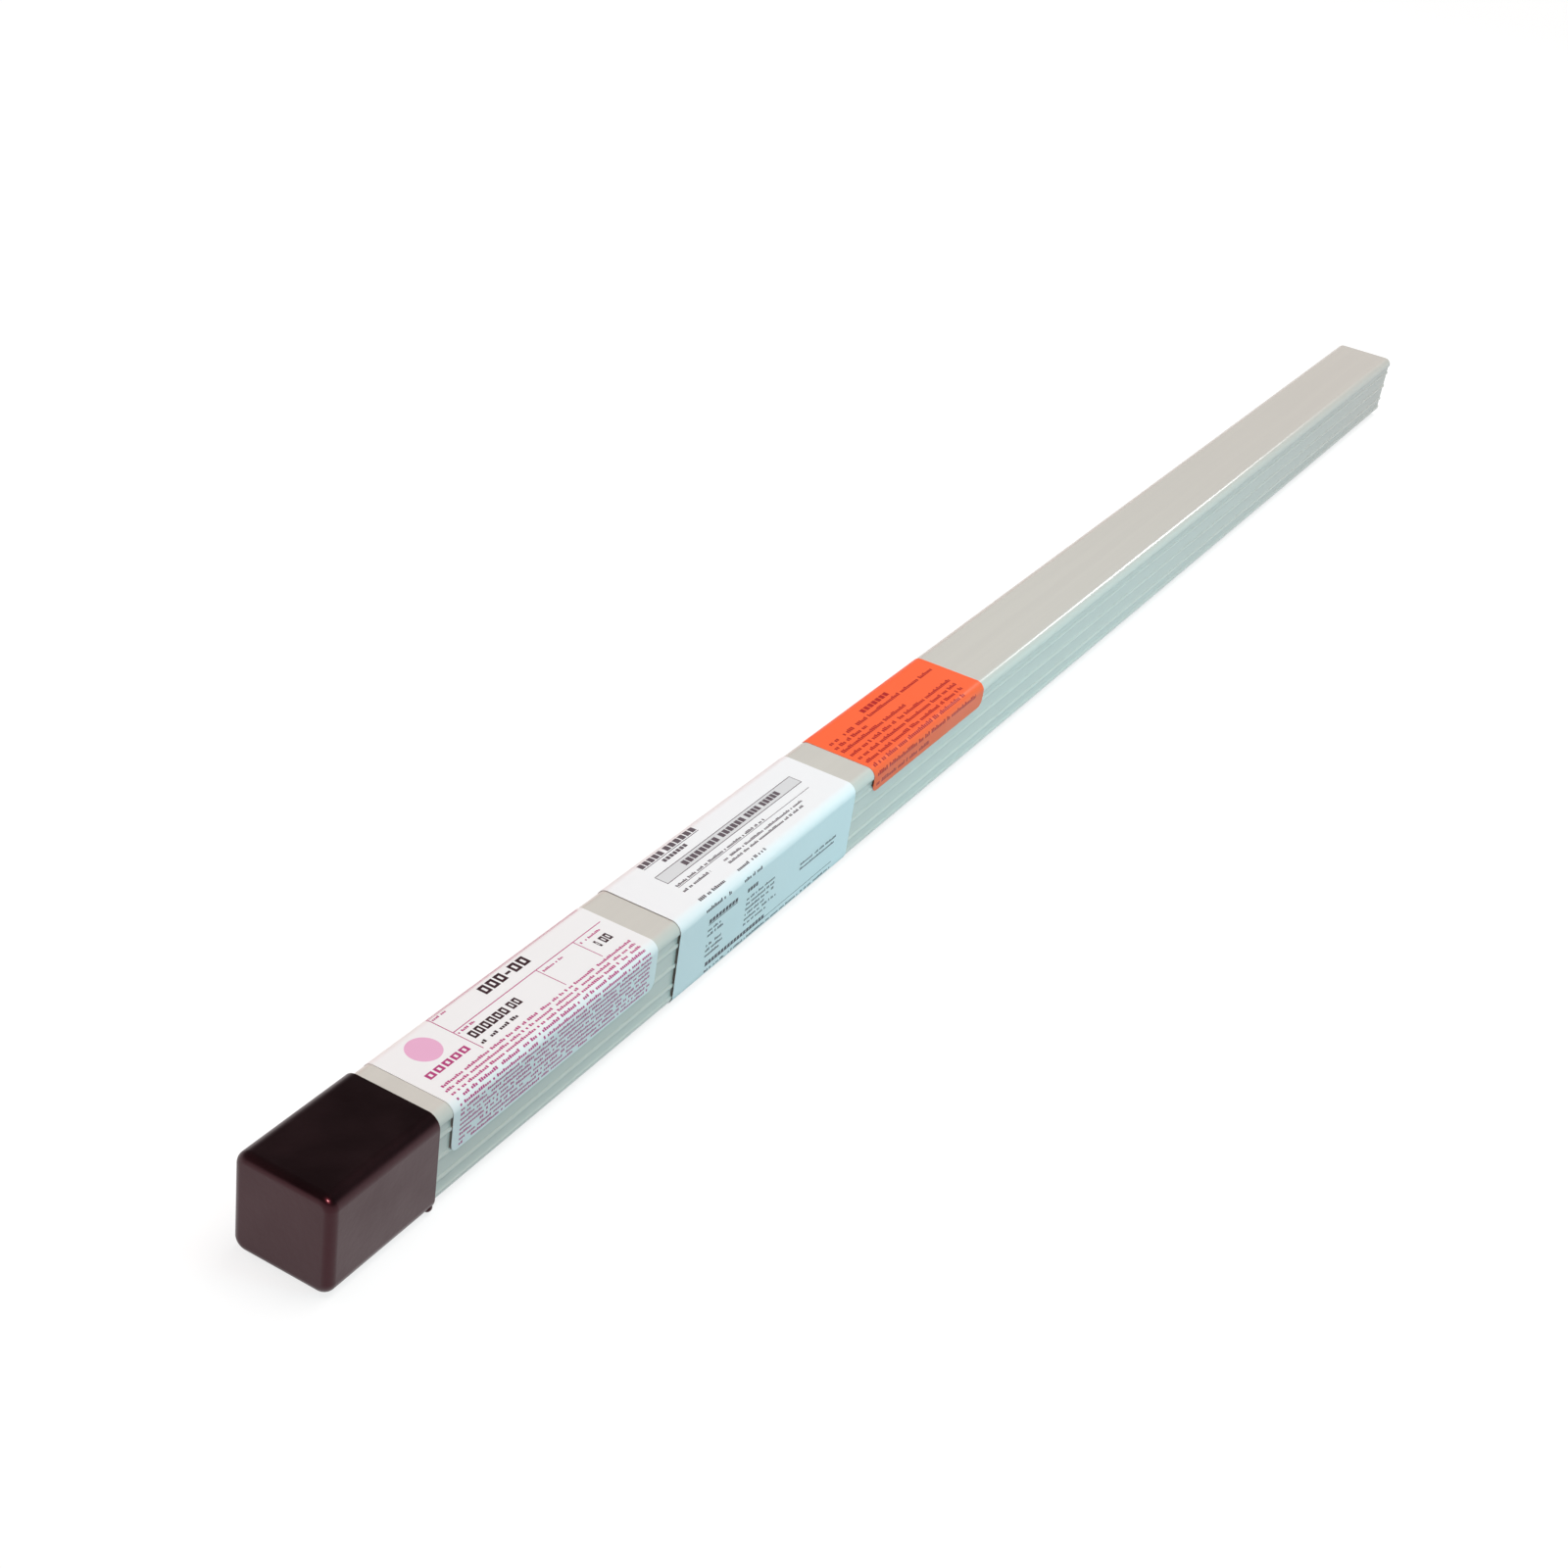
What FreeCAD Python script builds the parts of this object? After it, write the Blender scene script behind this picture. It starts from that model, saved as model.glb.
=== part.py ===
import FreeCAD, Part
import math
import os
import Sketcher

# Square plastic storage tube for 36 inch welding filler rods, with a black slip-on end cap.
# Lengths are millimetres and +Z is up. The tube lies along X with its capped end towards -X.
# The origin is on the floor, under the middle of the whole length.
#
# The tube is one extrusion with smooth top and bottom faces and ribbed sides. A soft dipped cap
# slides over one end and a push-in plug closes the other. A printed label and a sticker are
# folded over its corner, and a paper sheet is wrapped round it. The rods lie loose inside.

# Driving sizes: alias, value, what it is.
SIZES = (
    ("rod_length", 914.4, "cut length of a filler rod, 36 inches"),
    ("rod_diameter", 2.4, "diameter of a filler rod, 3/32 inch"),
    ("rod_gap", 0.06, "space between a rod and what it lies against"),
    ("rod_end_play", 1.4, "room left in the tube past the ends of the rods"),
    ("tube_side", 31.75, "outside width and height of the tube, 1 1/4 inch"),
    ("tube_wall", 1.5, "wall of the tube"),
    ("tube_corner_radius", 3.5, "outside radius of the tube's corners"),
    ("panel_land", 0.3, "flat strip between a corner and the sunk side panels"),
    ("panel_shoulder", 0.5, "height of the slope down into the sunk panels"),
    ("rib_height", 0.6, "height of a rib above the sunk panels"),
    ("rib_crest_depth", 0.05, "depth of a rib's crest below the side face"),
    ("rib_width", 2.1, "width of a rib at its foot"),
    ("rib_inset", 3.8, "from the panels' edge to the middle of the outer ribs"),
    ("cap_length", 45.7, "outside length of the end cap"),
    ("cap_wall", 1.0, "side wall of the end cap"),
    ("cap_end_wall", 2.0, "closed end of the end cap"),
    ("cap_clearance", 0.1, "space between the inside of the cap and the tube"),
    ("cap_end_radius", 3.0, "rounding round the cap's closed end"),
    ("cap_mouth_radius", 0.4, "rounding on the outer edge of the cap's mouth"),
    ("plug_depth", 8.0, "length of the push-in plug"),
    ("plug_wall", 1.6, "walls of the plug"),
    ("plug_clearance", 0.05, "space between the plug and the tube's bore"),
    ("plug_chamfer", 0.5, "chamfer round the plug's outer rim"),
    ("label_start", 52.7, "from the cap's outer end to the label"),
    ("label_length", 104.1, "length of the label along the tube"),
    ("label_thickness", 0.15, "thickness of the label"),
    ("label_drop_left", 7.0, "how far the label reaches down the left side"),
    ("label_drop_right", 17.0, "how far the label reaches down the right side"),
    ("label_corner_radius", 3.0, "rounding of the label's corners"),
    ("sheet_start", 169.9, "from the cap's outer end to the wrapped sheet"),
    ("sheet_width", 115.8, "width of the wrapped sheet along the tube"),
    ("sheet_thickness", 0.15, "thickness of the folded sheet"),
    ("sheet_corner_radius", 4.0, "inside radius of the sheet's loose corners"),
    ("sheet_clearance", 0.05, "space between the sheet and the tube's corners"),
    ("sheet_ply_gap", 0.03, "space between the sheet's lapped ends"),
    ("sheet_overlap", 14.0, "how far the sheet's two ends lap on the left side"),
    ("sticker_start", 300.5, "from the cap's outer end to the sticker"),
    ("sticker_length", 90.5, "length of the sticker along the tube"),
    ("sticker_thickness", 0.15, "thickness of the sticker"),
    ("sticker_drop_left", 7.0, "how far down the left side the sticker reaches before trimming"),
    ("sticker_drop_right", 9.6, "how far the sticker reaches down the right side"),
    ("sticker_edge_inset", 0.9, "from the tube's left face, seen from above, to the sticker's edge"),
    ("sticker_corner_radius", 3.0, "rounding of the sticker's corners"),
)

ROD_COUNT = 14  # rods of this size in a one pound pack
STRIP_NODES = {"label": "product_label", "sticker": "orange_sticker"}
OUTPUT_FOLDER = "parts"
TOLERANCE = 0.001


class Size:
    """A length worked out from the sheet: its number, and the expression that keeps it."""

    def __init__(self, value, text):
        self.value = value
        self.text = text

    def joined(self, other, sign, value):
        return Size(value, "(%s %s %s)" % (self.text, sign, other.text))

    def __add__(self, other):
        other = as_size(other)
        return self.joined(other, "+", self.value + other.value)

    def __sub__(self, other):
        other = as_size(other)
        return self.joined(other, "-", self.value - other.value)

    def __mul__(self, other):
        other = as_size(other)
        return self.joined(other, "*", self.value * other.value)

    def __truediv__(self, other):
        other = as_size(other)
        return self.joined(other, "/", self.value / other.value)

    def __neg__(self):
        return Size(-self.value, "(0 - %s)" % self.text)


def as_size(item):
    """Takes a plain number as a size of its own."""
    if isinstance(item, Size):
        return item
    return Size(float(item), "(%.9f)" % item)


def make_sheet(doc):
    """Fills the sheet with the driving sizes and returns them by alias."""
    sheet = doc.addObject("Spreadsheet::Sheet", "sizes")
    found = {}
    for row, (alias, value, meaning) in enumerate(SIZES, start=1):
        sheet.set("A%d" % row, meaning)
        sheet.set("B%d" % row, str(value))
        sheet.setAlias("B%d" % row, alias)
        found[alias] = Size(value, "sizes.%s" % alias)
    return found


def new_body(doc, label):
    body = doc.addObject("PartDesign::Body", label)
    body.Label = label
    return body


def origin_plane(body, role):
    for feature in body.Origin.OriginFeatures:
        if feature.Role == role:
            return feature
    raise RuntimeError("no plane " + role)


def new_sketch(body, name, role="YZ_Plane"):
    sketch = body.newObject("Sketcher::SketchObject", name)
    sketch.AttachmentSupport = [(origin_plane(body, role), "")]
    sketch.MapMode = "FlatFace"
    return sketch


def bind(sketch, constraint, size):
    """Adds one dimension to a sketch and ties it to the sheet."""
    index = sketch.addConstraint(constraint)
    sketch.setExpression("Constraints[%d]" % index, size.text)


def bind_point(sketch, geometry, end, across, up):
    """Fixes a point of the sketch by its distances from the sketch's origin."""
    bind(sketch, Sketcher.Constraint("DistanceX", -1, 1, geometry, end, across.value), across)
    bind(sketch, Sketcher.Constraint("DistanceY", -1, 1, geometry, end, up.value), up)


def corner(across, up, radius=None, bow=None):
    """One corner of an outline: radius rounds it, bow is the radius of an arc to the next one."""
    return {"across": across, "up": up, "radius": radius, "bow": bow}


def point_of(item):
    return FreeCAD.Vector(item["across"].value, item["up"].value, 0)


def direction(start, end):
    """Unit direction from one corner to the next."""
    return (point_of(end) - point_of(start)).normalize()


def arc_between(centre, radius, first, last, leftwards):
    """A circle's arc from first to last, turning left or right on the way."""
    start = math.atan2(first.y - centre.y, first.x - centre.x)
    end = math.atan2(last.y - centre.y, last.x - centre.x)
    if not leftwards:
        start, end = end, start
    circle = Part.Circle(centre, FreeCAD.Vector(0, 0, 1), radius)
    return Part.ArcOfCircle(circle, start, end)


def draw_round(sketch, before, here, after):
    """Draws a quarter turn at a corner and returns its geometry with its first and last point."""
    incoming = direction(before, here)
    outgoing = direction(here, after)
    radius = here["radius"]
    across = here["across"] + radius * round(outgoing.x - incoming.x)
    up = here["up"] + radius * round(outgoing.y - incoming.y)
    centre = FreeCAD.Vector(across.value, up.value, 0)
    first = point_of(here) - incoming * radius.value
    last = point_of(here) + outgoing * radius.value
    leftwards = incoming.x * outgoing.y - incoming.y * outgoing.x > 0
    arc = sketch.addGeometry(arc_between(centre, radius.value, first, last, leftwards))
    bind_point(sketch, arc, 3, across, up)
    bind(sketch, Sketcher.Constraint("Radius", arc, radius.value), radius)
    ends = (1, 2) if leftwards else (2, 1)
    return {"arc": arc, "ends": ends, "first": first, "last": last}


def draw_edge(sketch, here, start, end):
    """Draws the edge that leaves a corner: a line, or an arc that bows out to the right."""
    if here["bow"] is None:
        return sketch.addGeometry(Part.LineSegment(start, end)), (1, 2)
    radius = here["bow"]
    middle = (start + end) * 0.5
    along = (end - start).normalize()
    height = math.sqrt(radius.value ** 2 - (end - start).Length ** 2 / 4)
    centre = middle + FreeCAD.Vector(-along.y, along.x, 0) * height
    edge = sketch.addGeometry(arc_between(centre, radius.value, start, end, True))
    bind(sketch, Sketcher.Constraint("Radius", edge, radius.value), radius)
    return edge, (1, 2)


def draw_outline(sketch, corners):
    """Draws one closed outline through the corners and fixes every dimension of it."""
    count = len(corners)
    rounds = []
    for number, here in enumerate(corners):
        rounded = here["radius"] is not None
        around = (corners[number - 1], here, corners[(number + 1) % count])
        rounds.append(draw_round(sketch, *around) if rounded else None)
    edges = []
    for number, here in enumerate(corners):
        after = (number + 1) % count
        start = rounds[number]["last"] if rounds[number] else point_of(here)
        end = rounds[after]["first"] if rounds[after] else point_of(corners[after])
        edges.append(draw_edge(sketch, here, start, end))
    for number, here in enumerate(corners):
        arriving, arriving_ends = edges[number - 1]
        leaving, leaving_ends = edges[number]
        turn = rounds[number]
        if turn is None:
            joint = (arriving, arriving_ends[1], leaving, leaving_ends[0])
            sketch.addConstraint(Sketcher.Constraint("Coincident", *joint))
            bind_point(sketch, arriving, arriving_ends[1], here["across"], here["up"])
            continue
        into = (arriving, arriving_ends[1], turn["arc"], turn["ends"][0])
        out = (turn["arc"], turn["ends"][1], leaving, leaving_ends[0])
        sketch.addConstraint(Sketcher.Constraint("Tangent", *into))
        sketch.addConstraint(Sketcher.Constraint("Tangent", *out))


def draw_rounded_square(sketch, side, radius):
    half = side / 2
    places = ((-half, -half), (half, -half), (half, half), (-half, half))
    draw_outline(sketch, [corner(across, up, radius) for across, up in places])


def pad(body, sketch, length):
    feature = body.newObject("PartDesign::Pad", sketch.Name + "_pad")
    feature.Profile = sketch
    feature.setExpression("Length", length.text)
    return feature


def pocket(body, sketch, reverse=True):
    """Cuts right through on one side of the sketch, and checks that something came away."""
    base = body.Tip
    feature = body.newObject("PartDesign::Pocket", sketch.Name + "_pocket")
    feature.Profile = sketch
    feature.Type = "ThroughAll"
    feature.Reversed = reverse
    body.Document.recompute()
    if not feature.Shape.Volume < base.Shape.Volume:
        raise RuntimeError(feature.Name + " removes nothing")
    return feature


def dress_edges(body, kind, size, chooser):
    """Fillets or chamfers the edges of the body so far that the chooser accepts."""
    base = body.Tip
    body.Document.recompute()
    names = ["Edge%d" % (number + 1) for number, edge in enumerate(base.Shape.Edges) if chooser(edge)]
    if not names:
        raise RuntimeError("no edges to dress on " + body.Label)
    feature = body.newObject("PartDesign::" + kind, "%s_%s" % (body.Name, kind.lower()))
    feature.Base = (base, names)
    feature.setExpression("Radius" if kind == "Fillet" else "Size", size.text)
    return feature


def rim_at(place, half):
    """Accepts the edges in the plane X = place that lie on a section's outer skin."""

    def chooser(edge):
        box = edge.BoundBox
        in_plane = max(abs(box.XMin - place.value), abs(box.XMax - place.value)) < TOLERANCE
        reach = max(abs(box.YMin), abs(box.YMax), abs(box.ZMin), abs(box.ZMax))
        return in_plane and reach > half.value - TOLERANCE

    return chooser


def shorter_than(limit):
    """Accepts only the short edges, which on a thin strip are those at its corners."""
    return lambda edge: edge.Length < limit.value


def shift_sketch(sketch, distance):
    """Moves a sketch off its plane by a distance along the plane's normal."""
    sketch.setExpression("AttachmentOffset.Base.z", distance.text)


def place_body(body, along, height):
    """Puts a body's own origin at a distance from the middle of the part and off the floor."""
    body.setExpression("Placement.Base.x", along.text)
    body.setExpression("Placement.Base.z", height.text)


def make_plan(size):
    """Sizes and places that follow from the driving ones and that more than one piece uses."""
    plan = {}
    plan["tube_length"] = size["rod_length"] + size["rod_end_play"] + size["plug_depth"]
    plan["tube_offset"] = size["cap_end_wall"] + size["cap_clearance"]
    plan["total_length"] = plan["tube_offset"] + plan["tube_length"]
    plan["cap_end"] = -(plan["total_length"] / 2)
    plan["tube_start"] = plan["cap_end"] + plan["tube_offset"]
    plan["tube_end"] = plan["tube_start"] + plan["tube_length"]
    plan["bore_side"] = size["tube_side"] - size["tube_wall"] * 2
    plan["bore_radius"] = size["tube_corner_radius"] - size["tube_wall"]
    plan["cap_bore_side"] = size["tube_side"] + size["cap_clearance"] * 2
    plan["cap_bore_radius"] = size["tube_corner_radius"] + size["cap_clearance"]
    plan["cap_side"] = plan["cap_bore_side"] + size["cap_wall"] * 2
    plan["cap_radius"] = plan["cap_bore_radius"] + size["cap_wall"]
    plan["axis_height"] = plan["cap_side"] / 2
    return plan


def make_tube(doc, size, plan):
    """The extruded square tube: smooth top and bottom, three ribs down each side."""
    body = new_body(doc, "tube")
    outer = new_sketch(body, "tube_section")
    draw_rounded_square(outer, size["tube_side"], size["tube_corner_radius"])
    pad(body, outer, plan["tube_length"])

    panels = new_sketch(body, "side_panels")
    draw_outline(panels, side_panel_corners(size))
    sunk = pocket(body, panels)
    other_side = body.newObject("PartDesign::Mirrored", "other_side_panels")
    other_side.Originals = [sunk]
    other_side.MirrorPlane = (origin_plane(body, "XZ_Plane"), [""])
    body.Tip = other_side

    bore = new_sketch(body, "tube_bore")
    draw_rounded_square(bore, plan["bore_side"], plan["bore_radius"])
    pocket(body, bore)
    place_body(body, plan["tube_start"], plan["axis_height"])
    return body


def side_panel_corners(size):
    """Outline of what is taken off one side face: sunk panels with rounded ribs between them."""
    face = -(size["tube_side"] / 2)
    floor = face + size["rib_height"]
    outside = face - size["rib_height"]
    top = size["tube_side"] / 2 - size["tube_corner_radius"] - size["panel_land"]
    foot = top - size["panel_shoulder"]
    outer_rib = foot - size["rib_inset"]
    half_rib = size["rib_width"] / 2
    rise = size["rib_height"] - size["rib_crest_depth"]
    bow = (half_rib * half_rib + rise * rise) / (rise * 2)
    corners = [corner(outside, top), corner(face, top), corner(floor, foot)]
    for rib in (outer_rib, as_size(0), -outer_rib):
        corners.append(corner(floor, rib + half_rib, bow=bow))
        corners.append(corner(floor, rib - half_rib))
    corners += [corner(floor, -foot), corner(face, -top), corner(outside, -top)]
    return corners


def make_end_cap(doc, size, plan):
    """The dipped cap: a square cup with a rounded closed end and a softened mouth."""
    body = new_body(doc, "end_cap")
    outer = new_sketch(body, "cap_section")
    draw_rounded_square(outer, plan["cap_side"], plan["cap_radius"])
    pad(body, outer, size["cap_length"])
    half = plan["cap_side"] / 2
    dress_edges(body, "Fillet", size["cap_end_radius"], rim_at(as_size(0), half))

    cavity = new_sketch(body, "cap_cavity")
    draw_rounded_square(cavity, plan["cap_bore_side"], plan["cap_bore_radius"])
    shift_sketch(cavity, size["cap_end_wall"])
    pocket(body, cavity)
    dress_edges(body, "Fillet", size["cap_mouth_radius"], rim_at(size["cap_length"], half))
    place_body(body, plan["cap_end"], plan["axis_height"])
    return body


def make_end_plug(doc, size, plan):
    """The push-in plug: its closed wall stops the rods, its rim is flush with the tube's end."""
    body = new_body(doc, "end_plug")
    side = plan["bore_side"] - size["plug_clearance"] * 2
    radius = plan["bore_radius"] - size["plug_clearance"]
    outer = new_sketch(body, "plug_section")
    draw_rounded_square(outer, side, radius)
    pad(body, outer, size["plug_depth"])

    recess = new_sketch(body, "plug_recess")
    draw_rounded_square(recess, side - size["plug_wall"] * 2, radius - size["plug_wall"] / 2)
    shift_sketch(recess, size["plug_wall"])
    pocket(body, recess)
    dress_edges(body, "Chamfer", size["plug_chamfer"], rim_at(size["plug_depth"], side / 2))
    place_body(body, plan["tube_end"] - size["plug_depth"], plan["axis_height"])
    return body


def strip_corners(size, thickness, drop_left, drop_right):
    """Outline of a strip folded over the tube: left side, top and right side."""
    face = size["tube_side"] / 2
    skin = face + thickness
    inner = size["tube_corner_radius"]
    outer = inner + thickness
    left_end = face - drop_left
    right_end = face - drop_right
    return [
        corner(face, left_end),
        corner(face, face, inner),
        corner(-face, face, inner),
        corner(-face, right_end),
        corner(-skin, right_end),
        corner(-skin, skin, outer),
        corner(skin, skin, outer),
        corner(skin, left_end),
    ]


def make_strip(doc, size, plan, name):
    """A thin printed strip stuck over the tube's top and sides, with rounded corners."""
    body = new_body(doc, STRIP_NODES[name])
    thickness = size[name + "_thickness"]
    section = new_sketch(body, name + "_section")
    drops = (size[name + "_drop_left"], size[name + "_drop_right"])
    draw_outline(section, strip_corners(size, thickness, *drops))
    pad(body, section, size[name + "_length"])
    dress_edges(body, "Fillet", size[name + "_corner_radius"], shorter_than(thickness * 2))
    place_body(body, plan["cap_end"] + size[name + "_start"], plan["axis_height"])
    return body


def trim_sticker_edge(body, size):
    """Trims the sticker in plan so that its far edge ends on the tube's left corner."""
    edge = size["tube_side"] / 2 - size["sticker_edge_inset"]
    radius = size["sticker_corner_radius"]
    length = size["sticker_length"]
    inner = edge - radius * 2
    outer = size["tube_side"]
    start = as_size(0)
    plan_view = new_sketch(body, "sticker_plan", "XY_Plane")
    corners = [
        corner(start - radius, outer),
        corner(start - radius, inner),
        corner(start, inner),
        corner(start, edge, radius),
        corner(length, edge, radius),
        corner(length, inner),
        corner(length + radius, inner),
        corner(length + radius, outer),
    ]
    draw_outline(plan_view, corners)
    pocket(body, plan_view)


def make_data_sheet(doc, size, plan):
    """The paper sheet: one loose turn round the tube, its ends lapped on the left side."""
    body = new_body(doc, "data_sheet")
    inner = size["sheet_corner_radius"]
    outer = inner + size["sheet_thickness"]
    looseness = (inner - size["tube_corner_radius"]) * (1 - math.sqrt(0.5))
    face = size["tube_side"] / 2 + looseness + size["sheet_clearance"]
    skin = face + size["sheet_thickness"]
    lap_face = skin + size["sheet_ply_gap"]
    lap_skin = lap_face + size["sheet_thickness"]
    lap = size["sheet_overlap"] / 2
    corners = [
        corner(face, -lap),
        corner(face, face, inner),
        corner(-face, face, inner),
        corner(-face, -face, inner),
        corner(lap_face, -face, inner),
        corner(lap_face, lap),
        corner(lap_skin, lap),
        corner(lap_skin, -skin, outer),
        corner(-skin, -skin, outer),
        corner(-skin, skin, outer),
        corner(skin, skin, outer),
        corner(skin, -lap),
    ]
    section = new_sketch(body, "sheet_section")
    draw_outline(section, corners)
    pad(body, section, size["sheet_width"])
    place_body(body, plan["cap_end"] + size["sheet_start"], plan["axis_height"])
    return body


def rod_layers(size, plan):
    """Splits the rods into layers: a flat row on the bore's floor, then rows in its grooves."""
    pitch = size["rod_diameter"] + size["rod_gap"]
    margin = max(plan["bore_radius"].value, pitch.value / 2)
    room = plan["bore_side"].value - margin * 2
    layers = [min(ROD_COUNT, int(room / pitch.value) + 1)]
    while sum(layers) < ROD_COUNT:
        layers.append(min(ROD_COUNT - sum(layers), layers[-1] - 1))
    return pitch, layers


def make_rods(doc, size, plan):
    """The loose filler rods, lying in the bottom of the tube against the plug."""
    pitch, layers = rod_layers(size, plan)
    rise = pitch * math.sqrt(0.75)
    floor = plan["axis_height"] - plan["bore_side"] / 2
    start = plan["tube_end"] - size["plug_depth"] - size["rod_gap"] - size["rod_length"]
    lengthwise = FreeCAD.Rotation(FreeCAD.Vector(0, 1, 0), 90)
    rods = []
    first_step = (1 - layers[0]) / 2
    for layer, count in enumerate(layers):
        if layer > 0:
            spare_grooves = layers[layer - 1] - 1 - count
            first_step += 0.5 + spare_grooves // 2
        height = floor + pitch / 2 + rise * layer
        for number in range(count):
            name = "filler_rod_%02d" % (len(rods) + 1)
            rod = doc.addObject("Part::Cylinder", name)
            rod.Label = name
            rod.Placement = FreeCAD.Placement(FreeCAD.Vector(), lengthwise)
            rod.setExpression("Radius", (size["rod_diameter"] / 2).text)
            rod.setExpression("Height", size["rod_length"].text)
            rod.setExpression("Placement.Base.y", (pitch * (first_step + number)).text)
            place_body(rod, start, height)
            rods.append(rod)
    return rods


def check_document(doc, nodes):
    """Stops before anything is written if a feature failed or a shape isn't a sound solid."""
    for item in doc.Objects:
        if "Invalid" in item.State or "Error" in item.State:
            raise RuntimeError("%s failed: %s" % (item.Name, item.State))
    for node in nodes:
        if node.Shape.isNull() or not node.Shape.isValid() or len(node.Shape.Solids) != 1:
            raise RuntimeError(node.Label + " is not one valid solid")


def main():
    doc = FreeCAD.newDocument("rod_tube")
    size = make_sheet(doc)
    doc.recompute()
    plan = make_plan(size)
    nodes = [make_tube(doc, size, plan), make_end_cap(doc, size, plan), make_end_plug(doc, size, plan)]
    nodes.append(make_strip(doc, size, plan, "label"))
    sticker = make_strip(doc, size, plan, "sticker")
    trim_sticker_edge(sticker, size)
    nodes.append(sticker)
    nodes.append(make_data_sheet(doc, size, plan))
    nodes += make_rods(doc, size, plan)
    doc.recompute()
    check_document(doc, nodes)
    os.makedirs(OUTPUT_FOLDER, exist_ok=True)
    for node in nodes:
        box = node.Shape.BoundBox
        print("%-15s %8.1f mm3  x %.2f %.2f  y %.2f %.2f  z %.2f %.2f" % (
            node.Label, node.Shape.Volume, box.XMin, box.XMax, box.YMin, box.YMax, box.ZMin, box.ZMax))
        node.Shape.exportStep("%s/%s.step" % (OUTPUT_FOLDER, node.Label))


main()
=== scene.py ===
import bpy
import bmesh
import math
from mathutils import Euler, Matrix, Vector


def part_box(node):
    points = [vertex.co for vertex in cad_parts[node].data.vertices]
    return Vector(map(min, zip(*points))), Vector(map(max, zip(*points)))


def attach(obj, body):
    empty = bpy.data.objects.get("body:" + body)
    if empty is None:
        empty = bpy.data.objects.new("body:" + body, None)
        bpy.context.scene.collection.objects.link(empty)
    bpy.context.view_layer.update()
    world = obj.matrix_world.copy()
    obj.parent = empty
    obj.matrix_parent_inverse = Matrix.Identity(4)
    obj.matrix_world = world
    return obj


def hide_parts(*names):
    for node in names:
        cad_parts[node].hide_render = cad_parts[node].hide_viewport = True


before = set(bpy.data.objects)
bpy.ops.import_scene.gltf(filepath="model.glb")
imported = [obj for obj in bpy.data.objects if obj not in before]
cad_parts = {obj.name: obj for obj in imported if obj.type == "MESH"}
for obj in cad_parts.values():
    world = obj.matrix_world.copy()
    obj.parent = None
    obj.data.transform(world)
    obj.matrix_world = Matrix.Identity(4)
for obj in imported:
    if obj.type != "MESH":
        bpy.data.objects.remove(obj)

bl_info = {
    "name": "Rod Tube Dressing",
    "version": (1, 0, 0),
    "blender": (4, 5, 0),
    "location": "View3D > Sidebar > Rod Tube",
    "description": "Finishes a square storage tube for welding rods: plastic, cap, papers and studio",
    "category": "Object",
}

MM = 0.001
ROD_NODES = sorted(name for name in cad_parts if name.startswith("filler_rod"))
TUBE_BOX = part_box("tube")
AXIS_HEIGHT = (TUBE_BOX[0].z + TUBE_BOX[1].z) / 2
TUBE_HALF = (TUBE_BOX[1].y - TUBE_BOX[0].y) / 2
UNROLLED = "unrolled"  # the papers' UV map: metres along the tube, and metres round it from the top
ALIKE = 0.00001  # places closer than this are the same
FOLD_STEPS = 10
CORNER_STEPS = 8
SHEET_HALF_LAP = 0.007  # how far each end of the sheet runs past the middle of the far side

# Print, as shares of one letter's cell or of one row's height
LETTER_SHARE = 0.8
LETTER_GAP = 0.2
WORD_GAPS = 0.17
SMALL_LETTERS = 0.65
SMALL_LETTER_DROP = 0.28
HOLE_HALF_WIDTH = 0.13
HOLE_HALF_HEIGHT = 0.26
FILLED = 10.0  # a line this wide, in millimetres, fills any box of print

CAMERA_PLACE = (-0.82782, -0.30270, 0.44133)
CAMERA_TURN = (59.5744, -7.6961, -59.6641)  # degrees
CAMERA_LENS = 53.105
CAMERA_FILM_WIDTH = 36


class TubeSettings(bpy.types.PropertyGroup):
    colour: bpy.props.FloatVectorProperty(
        name="Tube colour", description="Light grey of the extruded tube",
        subtype="COLOR", size=3, min=0, max=1, default=(0.64, 0.60, 0.55))
    streak_colour: bpy.props.FloatVectorProperty(
        name="Streak colour", description="Slightly darker grey of the drawing lines",
        subtype="COLOR", size=3, min=0, max=1, default=(0.62, 0.58, 0.533))
    smooth_angle: bpy.props.FloatProperty(
        name="Smooth angle", description="Edges sharper than this stay crisp",
        subtype="ANGLE", default=math.radians(35))


class CapSettings(bpy.types.PropertyGroup):
    drip_radius: bpy.props.FloatProperty(
        name="Drip radius", description="Size of the drip on the cap's rim",
        unit="LENGTH", precision=5, default=0.0013)
    colour: bpy.props.FloatVectorProperty(
        name="Cap colour", description="Near black of the dipped cap",
        subtype="COLOR", size=3, min=0, max=1, default=(0.0075, 0.0040, 0.0044))
    plug_colour: bpy.props.FloatVectorProperty(
        name="Plug colour", description="Grey of the push-in plug",
        subtype="COLOR", size=3, min=0, max=1, default=(0.50, 0.49, 0.46))
    rod_colour: bpy.props.FloatVectorProperty(
        name="Rod colour", description="Bare drawn steel of the rods",
        subtype="COLOR", size=3, min=0, max=1, default=(0.56, 0.55, 0.53))


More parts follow.
